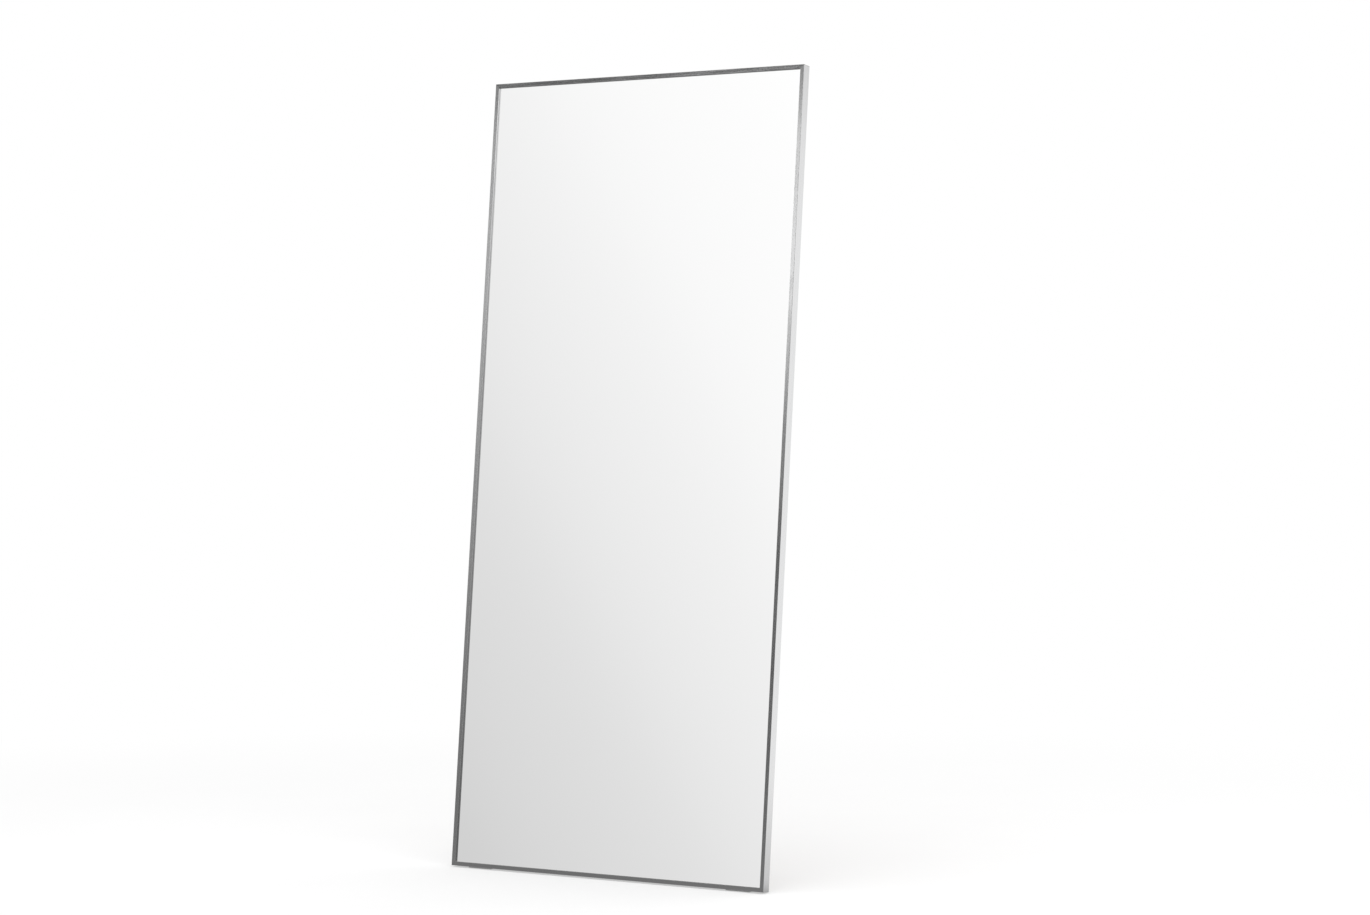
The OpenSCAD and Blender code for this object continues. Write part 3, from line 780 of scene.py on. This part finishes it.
def brackets():
    """A base plate and two ears with round ends, each plate with softened edges."""
    for side in ("left", "right"):
        node = "hinge_bracket_" + side
        low, high = mirror_box(node)
        base = plate(rounded_rectangle(high[0] - low[0], high[2] - low[2], PLATE_R), BRACKET_T)
        around = np.linspace(-pi / 2, pi / 2, EAR_PARTS + 1)
        reach = PIVOT[0] - low[1]
        tip = np.stack([reach + EAR_R * np.cos(around), EAR_R * np.sin(around)], -1)
        ear = plate(np.concatenate([[(EDGE, -EAR_R)], tip, [(EDGE, EAR_R)]]), BRACKET_T)[..., [1, 0, 2]]
        place = np.array([(low[0] + high[0]) / 2, low[1], (low[2] + high[2]) / 2])
        grids = [base + place]
        for shift in (-LEG_R - EAR_GAP - BRACKET_T, LEG_R + EAR_GAP):
            grids.append(ear + place + [shift, 0, 0])
        build(node + "_plates", [from_mirror(grid) for grid in grids], "caps", "mirror", "zinc_steel", [node])


def pins():
    """Hinge pins turned about X: a domed head outside, and a clip's groove near the inner end."""
    for side, out in (("left", -1), ("right", 1)):
        node = "hinge_pin_" + side
        low, high = mirror_box(node)
        bracket = mirror_box("hinge_bracket_" + side)
        middle = (bracket[0][0] + bracket[1][0]) / 2
        outer = abs((high[0] if out > 0 else low[0]) - middle)
        inner = abs((low[0] if out > 0 else high[0]) - middle)
        head_r = (high[2] - low[2]) / 2
        shoulder = LEG_R + EAR_GAP + BRACKET_T
        groove = shoulder + EAR_GAP
        profile = [(0, outer), (PIN_FLAT * head_r, outer - PIN_DOME)]
        profile += arc((head_r - PIN_EDGE, outer - PIN_DOME - PIN_EDGE), PIN_EDGE, 80, 0, parts=5)
        profile += [(head_r, shoulder), (PIN_R, shoulder), (PIN_R, -groove), (GROOVE_R, -groove),
                    (GROOVE_R, -groove - GROOVE_W), (PIN_R, -groove - GROOVE_W), (PIN_R, -inner + EDGE),
                    (PIN_R - EDGE, -inner), (0, -inner)]
        shape = turned(profile)[..., [1, 0, 2]] * [out, 1, 1]
        build(node + "_turned", [from_mirror(shape + [middle, *PIVOT])], "poles", "mirror", "zinc_steel",
              [node])


def plain_bars():
    """The two crossbars without keyholes, with round corners and softened edges."""
    for bar in ("upper_crossbar", "lower_crossbar"):
        low, high = mirror_box(bar)
        shape = plate(rounded_rectangle(high[0] - low[0], high[2] - low[2], PLATE_R), high[1] - low[1])
        build(bar + "_plate", [from_mirror(shape + [0, low[1], (low[2] + high[2]) / 2])], "caps", "mirror",
              "zinc_steel", [bar])


def keyhole_outline(quarter=9, half=13):
    """A counterclockwise keyhole: a circle from its right side, with a round-ended slot at its top.

    The slot leaves the circle at the angle whose cosine is SLOT_R / KEYHOLE_R. Returns the points and the
    number of the leftmost one.
    """
    leave = np.arccos(SLOT_R / KEYHOLE_R)
    parts = [
        (np.linspace(0, leave, quarter), KEYHOLE_R, 0),
        (np.linspace(0, pi, half), SLOT_R, KEYHOLE_RISE),
        (np.linspace(pi - leave, pi, quarter), KEYHOLE_R, 0),
        (np.linspace(pi, 2 * pi, 2 * half - 1)[1:-1], KEYHOLE_R, 0),
    ]
    points = [np.stack([radius * np.cos(t), rise + radius * np.sin(t)], -1) for t, radius, rise in parts]
    return np.concatenate(points), quarter + half + quarter - 1


def keyhole_bar():
    """The hanging bar: each face is one polygon above its keyholes and one below them."""
    low, high = mirror_box("hanging_bar")
    thickness = high[1] - low[1]
    outline = rounded_rectangle(high[0] - low[0], high[2] - low[2], PLATE_R)
    count = len(outline)
    hole, left_most = keyhole_outline()
    around = len(hole)
    middle = (low[2] + high[2]) / 2
    entry = to_mirror(mounts["keyhole_right"]["pos_m"])
    cut = plate(hole[::-1], thickness)[:, ::-1]
    grids = [plate(outline, thickness)]
    grids += [cut + [side * entry[0], 0, entry[2] - middle] for side in (-1, 1)]
    rings = grids[0].shape[0]
    half = count // 2
    upper = np.arange(half, count)
    lower = np.concatenate([[count - 1], np.arange(half + 1)])
    over = np.arange(left_most, -1, -1)
    under = np.concatenate([[0], np.arange(around - 1, left_most - 1, -1)])
    patches = []
    for ring in (0, rings - 1):
        first = ring * count
        left, right = (rings * count + (rings * number + ring) * around for number in (0, 1))
        patches.append(np.concatenate([first + upper, left + over, right + over]).tolist())
        patches.append(np.concatenate([first + lower, right + under, left + under]).tolist())
    build("hanging_bar_plate", [from_mirror(grid + [0, low[1], middle]) for grid in grids], "open", "mirror",
          "zinc_steel", ["hanging_bar"], patches=patches)


brackets()
pins()
plain_bars()
keyhole_bar()


# Rubber and nylon parts

BUMPER_R = 5.0 * MM
BUMPER_TIP_R = 3.0 * MM
BUMPER_EDGE = 1.4 * MM
# The bumper's straight foot as a share of its height, and its flat tip as a share of the tip's radius
BUMPER_SKIRT = 0.12
BUMPER_FLAT = 0.25
# A buffer's round rim, the flat ring inside it, and its dish
BUFFER_RIM = 1.0 * MM
BUFFER_LIP = 2.2 * BUFFER_RIM
BUFFER_DISH = 0.4 * MM
BUFFER_SLOPE = 0.35 * MM
# A foot's ribs, the points along each, and the share of its wall that is left at its ends
FOOT_RIBS = 9
FOOT_STEPS = 12
RIB_DEPTH = 0.5 * MM
FOOT_MOUTH = 0.55
TUBE_FIT = 0.05 * MM
PLUG_HEAD = 1.5 * MM
PLUG_EDGE = 1.0 * MM
PLUG_FLAT_R = 0.5 * LEG_R
PLUG_STEM_R = LEG_R - 1.6 * MM
PLUG_TIP_R = 0.9 * PLUG_STEM_R
PLUG_TAPER = 0.6 * MM


def bumpers():
    """Four round-tipped cones on the back of the side rails, each turned from a profile with a soft rim."""
    low, high = mirror_box("wall_bumpers")
    height = high[1] - low[1]
    profile = [(0, 0), (BUMPER_R, 0), (BUMPER_R, BUMPER_SKIRT * height)]
    profile += arc((BUMPER_TIP_R - BUMPER_EDGE, height - BUMPER_EDGE), BUMPER_EDGE, 20, 80)
    profile += [(BUMPER_FLAT * BUMPER_TIP_R, height), (0, height)]
    places = at_each(turned(profile), (low[0] + BUMPER_R, high[0] - BUMPER_R), low[1],
                     (low[2] + BUMPER_R, high[2] - BUMPER_R))
    build("soft_bumpers", places, "poles", "mirror", "pale_rubber", ["wall_bumpers"])


def rests():
    """Two round buffers for the folded legs, with a rounded rim and a shallow dish."""
    low, high = mirror_box("stand_rests")
    radius = (high[2] - low[2]) / 2
    height = high[1] - low[1]
    profile = [(0, 0), (radius, 0)]
    profile += arc((radius - BUFFER_RIM, height - BUFFER_RIM), BUFFER_RIM, 0, 90)
    profile += [(radius - BUFFER_LIP, height), (radius / 2, height - BUFFER_SLOPE), (0, height - BUFFER_DISH)]
    places = at_each(turned(profile), (low[0] + radius, high[0] - radius), low[1], ((low[2] + high[2]) / 2,))
    build("leg_buffers", places, "poles", "mirror", "black_rubber", ["stand_rests"])


def feet():
    """Ribbed rubber sleeves round the lower tube, rolled in at both ends.

    Along the sleeve, r = R - depth (1 - sqrt |cos|), and at each end the sleeve's wall shrinks by a quarter
    circle to FOOT_MOUTH of itself.
    """
    for side in ("left", "right"):
        node = "stand_foot_" + side
        low, high = stand_box(node)
        radius, length = (high[2] - low[2]) / 2, high[0] - low[0]
        bore = LEG_R + TUBE_FIT
        along = np.linspace(0, 1, FOOT_STEPS * FOOT_RIBS + 1)
        ribs = radius - RIB_DEPTH * (1 - np.sqrt(np.abs(np.cos(pi * FOOT_RIBS * along))))
        ends = np.clip(np.minimum(along, 1 - along) * length / (radius - bore), 0, 1)
        shell = bore + (ribs - bore) * (FOOT_MOUTH + (1 - FOOT_MOUTH) * np.sqrt(1 - (1 - ends) ** 2))
        profile = [(bore, 0)] + list(zip(shell, along * length)) + [(bore, length)]
        ring = turned(profile, around=48)[..., [1, 0, 2]]
        place = [low[0], (low[1] + high[1]) / 2, (low[2] + high[2]) / 2]
        build("ribbed_foot_" + side, [from_stand(ring + place)], "loop", "stand", "black_rubber", [node])


def end_plugs():
    """Domed plugs in the upper ends of the legs."""
    low, high = stand_box("stand_end_plugs")
    length = high[2] - low[2]
    profile = [(0, 0), (PLUG_TIP_R, 0), (PLUG_STEM_R, PLUG_TAPER), (PLUG_STEM_R, length - PLUG_HEAD),
               (LEG_R, length - PLUG_HEAD)]
    profile += arc((LEG_R - PLUG_EDGE, length - PLUG_EDGE), PLUG_EDGE, 0, 80)
    profile += [(PLUG_FLAT_R, length), (0, length)]
    shape = turned(profile)[..., [0, 2, 1]]
    places = [(x, 0, low[2]) for x in (low[0] + LEG_R, high[0] - LEG_R)]
    build("leg_end_plugs", [from_stand(shape + place) for place in places], "poles", "stand", "plug_nylon",
          ["stand_end_plugs"])


bumpers()
rests()
feet()
end_plugs()


# Floor pads

PAD_EDGE = 0.25 * MM
PAD_MERGE = 0.001 * MM


def soften(name):
    """Joins a flat node's loose triangles and rounds its edges a little, as moulded parts have them."""
    joined = nodes[name].modifiers.new("joined", "WELD")
    joined.merge_threshold = PAD_MERGE
    rounded = nodes[name].modifiers.new("rounded", "BEVEL")
    rounded.width = PAD_EDGE
    rounded.segments = 2
    rounded.limit_method = "ANGLE"
    rounded.angle_limit = radians(50)
    rounded.harden_normals = True


for pad in ("floor_pad_left", "floor_pad_right"):
    soften(pad)


# Studio
#
# The glass and the brushed metal see brightness by direction alone. A window on a direction is (axis, start,
# end, low, high): the brightness turns smoothly from low to high as the direction's share along the axis
# goes from start to end.

UP = (0, 0, 1)
RIGHT = (1, 0, 0)
FRONT = (0, -1, 0)

# What the glass sees: a curve of greys along an axis that points up, to the right and a little to the front,
# and a slow fall towards the end of that axis
SKY_AXIS = (0.761, -0.336, 0.555)
SKY_SPAN = (-0.4, 0.2)
SKY_LEVELS = (
    (0.0, 0.42), (0.25, 0.50), (0.45, 0.64), (0.56, 0.773), (0.673, 0.913), (0.787, 0.99), (1.0, 1.0),
)
SKY_FALL = (SKY_AXIS, 0.12, 0.75, 1.06, 0.74)

# What the metal sees: a dim front and a bright back, both darker upwards in two steps, and then light from
# above and from the left
SOFT_LOW = 0.155
SOFT_BACK = (
    ((0.51, 0.86, 0.0), -0.3, 0.7, SOFT_LOW, 1.2),
    (UP, 0.085, 0.12, 1.0, 0.8),
    (UP, 0.255, 0.295, 1.0, 0.1),
)
SOFT_ABOVE = (UP, 0.32, 0.75, 0.0, 0.65)
SOFT_LEFT = ((-0.9, 0.44, 0.0), 0.3, 0.8, 0.0, 0.6)
# Patches of light in front of the mirror, each as windows that are multiplied together
IN_FRONT = (FRONT, 0.2, 0.5, 0.0, 1.0)
SOFT_PATCHES = (
    # near the top of the right rail's lip, and faint on what faces the front
    ((UP, 0.178, 0.242, 0.0, 2.3), (UP, 0.246, 0.284, 1.0, 0.0),
     (RIGHT, -0.54, -0.48, 0.0, 1.0), (RIGHT, -0.40, -0.26, 1.0, 0.12)),
    # on the left rail's lip, brighter upwards
    ((UP, -0.01, 0.30, 0.0, 0.90), (UP, 0.252, 0.276, 1.0, 0.0), (RIGHT, -0.60, -0.50, 1.0, 0.0)),
    # on the bottom rail's lip, and at the foot of the side rails
    ((UP, -0.4, -0.3, 0.0, 0.12), (UP, 0.03, 0.065, 1.0, 0.0),
     (RIGHT, -0.57, -0.47, 0.4, 1.0), (RIGHT, 0.0, 0.3, 1.0, 0.0)),
    # on the left rail's inner side, brighter upwards, and once more near its top
    ((UP, 0.0, 0.20, 0.0, 0.45), (UP, 0.60, 0.90, 1.0, 0.0), (RIGHT, 0.15, 0.45, 0.0, 1.0)),
    ((UP, 0.19, 0.275, 0.0, 0.55), (UP, 0.28, 0.36, 1.0, 0.0), (RIGHT, 0.15, 0.45, 0.0, 1.0)),
)
# What everything else sees
FILL = 0.85


def window(tree, direction, axis, start, end, low, high):
    """The brightness that one window gives in a direction."""
    along = vector_maths(tree, "DOT_PRODUCT", {0: direction, 1: axis})
    return spread(tree, along, start, end, low, high, "SMOOTHSTEP")


def windows(tree, direction, settings):
    """The brightness of several windows, multiplied together."""
    level = window(tree, direction, *settings[0])
    for setting in settings[1:]:
        level = maths(tree, "MULTIPLY", level, window(tree, direction, *setting))
    return level


def clear_view():
    """What a clear mirror sees, as brightness by direction."""
    group, given, out = new_group("clear_view", [("Direction", "Vector", None)], [("Value", "Float")])
    along = vector_maths(group, "DOT_PRODUCT", {0: given[0], 1: SKY_AXIS})
    level = smooth_curve(group, spread(group, along, *SKY_SPAN), SKY_LEVELS)
    feed(group, out, {"Value": maths(group, "MULTIPLY", level, window(group, given[0], *SKY_FALL))})
    return group


def soft_view():
    """What brushed metal sees, as brightness by direction."""
    group, given, out = new_group("soft_view", [("Direction", "Vector", None)], [("Value", "Float")])
    level = windows(group, given[0], SOFT_BACK)
    for light in (SOFT_ABOVE, SOFT_LEFT):
        level = maths(group, "MAXIMUM", level, window(group, given[0], *light))
    for patch in SOFT_PATCHES:
        level = maths(group, "ADD", level, windows(group, given[0], (*patch, IN_FRONT)))
    feed(group, out, {"Value": level})
    return group


CLEAR_VIEW = clear_view()
SOFT_VIEW = soft_view()


def seen(tree, group, direction):
    """The brightness of a view in a direction."""
    return use_group(tree, group, {"Direction": direction})["Value"]


def first_glass(tree):
    """1 for a ray that comes straight from the glass to here, and 0 for one that met metal before.

    Such a ray left a plain mirror, and that was its only glossy bounce.
    """
    ray = add(tree, "ShaderNodeLightPath").outputs
    only = maths(tree, "LESS_THAN", ray["Glossy Depth"], 1.5)
    return maths(tree, "MULTIPLY", ray["Is Singular Ray"], only)


def studio_world():
    """White behind the object, a pale gradient in the glass, and a soft studio round the metal."""
    world = bpy.data.worlds.new("studio")
    bpy.context.scene.world = world
    world.use_nodes = True
    tree = world.node_tree
    ray = add(tree, "ShaderNodeLightPath").outputs
    direction = add(tree, "ShaderNodeTexCoord").outputs["Generated"]
    level = blend_value(tree, ray["Is Glossy Ray"], FILL, seen(tree, SOFT_VIEW, direction))
    level = blend_value(tree, first_glass(tree), level, seen(tree, CLEAR_VIEW, direction))
    level = blend_value(tree, ray["Is Camera Ray"], level, 1.0)
    feed(tree, tree.nodes["Background"].inputs, {"Color": grey(1.0), "Strength": level})


FLOOR_HALF = 60.0
# The floor lies this little below the pads and feet, so that no two faces share a plane
FLOOR_DROP = 0.3 * MM
FLOOR_TONE = 0.86
FLOOR_UNEVEN = 0.006
# Distances over which the floor turns white, and the share of white that lifts its shadow up to the first
WHITE_SPAN = (1.3, 3.5)
SHADOW_LIFT = 0.45
# How the floor shows in the metal: what the metal would see past it, with less of that close to the object,
# and never below a least grey; each as (near, far, value when near, value when far)
FLOOR_GAIN = 1.15
FLOOR_SHARE = (0.4, 2.0, 0.72, 1.0)
FLOOR_LEAST = (0.5, 3.0, 0.40, 0.22)


def studio_floor():
    """A pale floor that turns white with distance, so that it ends without a horizon."""
    mesh = bpy.data.meshes.new("floor")
    h, z = FLOOR_HALF, -FLOOR_DROP
    mesh.from_pydata([(-h, -h, z), (h, -h, z), (h, h, z), (-h, h, z)], [], [(0, 1, 2, 3)])
    floor = bpy.data.objects.new("floor", mesh)
    bpy.context.scene.collection.objects.link(floor)
    floor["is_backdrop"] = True
    material = bpy.data.materials.new("floor")
    material.use_nodes = True
    mesh.materials.append(material)
    tree = material.node_tree
    shader = tree.nodes["Principled BSDF"]
    place = add(tree, "ShaderNodeTexCoord").outputs["Object"]
    tone = mottle(tree, place, scale=3.0, low=FLOOR_TONE - FLOOR_UNEVEN, high=FLOOR_TONE + FLOOR_UNEVEN)
    pale = add(tree, "ShaderNodeCombineColor", {0: tone, 1: tone, 2: tone}).outputs[0]
    set_shader(tree, shader, Base_Color=pale, Roughness=0.75, Specular_IOR_Level=0.0)
    distance = vector_maths(tree, "LENGTH", {0: place})
    direction = vector_maths(tree, "NORMALIZE", {0: place})
    ray = add(tree, "ShaderNodeLightPath").outputs
    clear = first_glass(tree)
    brushed = maths(tree, "SUBTRACT", ray["Is Glossy Ray"], clear, clamp=True)
    above = raised(tree, -SOFT_LOW * FLOOR_GAIN, seen(tree, SOFT_VIEW, direction), by=FLOOR_GAIN)
    in_metal = maths(tree, "MULTIPLY", above, spread(tree, distance, *FLOOR_SHARE))
    in_metal = maths(tree, "MAXIMUM", in_metal, spread(tree, distance, *FLOOR_LEAST))
    glow = blend_value(tree, clear, 1.0, seen(tree, CLEAR_VIEW, direction))
    glow = blend_value(tree, brushed, glow, in_metal)
    lit = add(tree, "ShaderNodeEmission", {"Strength": glow})
    white = spread(tree, distance, *WHITE_SPAN, SHADOW_LIFT, 1.0, "SMOOTHSTEP")
    shown = maths(tree, "MULTIPLY", white, maths(tree, "MAXIMUM", ray["Is Camera Ray"], clear))
    share = maths(tree, "MAXIMUM", shown, brushed)
    mix = add(tree, "ShaderNodeMixShader", {0: share, 1: shader.outputs[0], 2: lit.outputs[0]})
    feed(tree, tree.nodes["Material Output"].inputs, {"Surface": mix.outputs[0]})
    return floor


# Each lamp's place, the point that it faces, its width and height, and its watts
SOFTBOXES = {
    "overhead": ((0.6, -0.8, 4.2), (0, 0, 0.6), 3.5, 3.5, 90),
    "back_fill": ((2.5, 4.5, 2.6), (0.0, 0.0, 0.9), 3.0, 3.0, 25),
}


def receivers(name, objects):
    """A collection of the things that a lamp lights."""
    group = bpy.data.collections.new(name)
    for item in objects:
        group.objects.link(item)
    return group


def softbox(name, place, aim, width, height, watts, lit):
    """A flat rectangular lamp at a place, turned to face a point."""
    light = bpy.data.lights.new(name, "AREA")
    light.shape = "RECTANGLE"
    light.size = width
    light.size_y = height
    light.energy = watts
    lamp = bpy.data.objects.new(name, light)
    bpy.context.scene.collection.objects.link(lamp)
    lamp.location = place
    towards = lamp.location.copy() - type(lamp.location)(aim)
    lamp.rotation_euler = towards.to_track_quat("Z", "Y").to_euler()
    lamp.visible_camera = False
    lamp.light_linking.receiver_collection = lit


def studio_lamps(floor):
    """Two large softboxes; the glass and the rails show the studio round them instead."""
    shiny = [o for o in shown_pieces() if o.name == "mirror_glass" or "_rail" in o.name]
    lit = receivers("lit_by_softboxes", [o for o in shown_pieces() if o not in shiny] + [floor])
    for name, settings in SOFTBOXES.items():
        softbox(name, *settings, lit)


CAMERA_PLACE = (3.6617, -5.9632, 1.0184)
CAMERA_PITCH = radians(-0.696)
CAMERA_PAN = radians(30.594)
# The photograph's width and the lens's focal length, both in pixels, and the camera's sensor in millimetres
PHOTO_WIDTH = 1370
FOCAL_LENGTH = 3119
SENSOR = 36.0


def studio_camera():
    """The camera stands to the right of the mirror, a little above half its height."""
    camera = bpy.data.cameras.new("camera")
    camera.sensor_width = SENSOR
    camera.angle_x = 2 * atan(0.5 * PHOTO_WIDTH / FOCAL_LENGTH)
    holder = bpy.data.objects.new("camera", camera)
    holder.location = CAMERA_PLACE
    holder.rotation_euler = (pi / 2 + CAMERA_PITCH, 0, CAMERA_PAN)
    bpy.context.scene.collection.objects.link(holder)
    bpy.context.scene.camera = holder


studio_world()
studio_lamps(studio_floor())
studio_camera()
bpy.context.scene.view_settings.view_transform = "Standard"
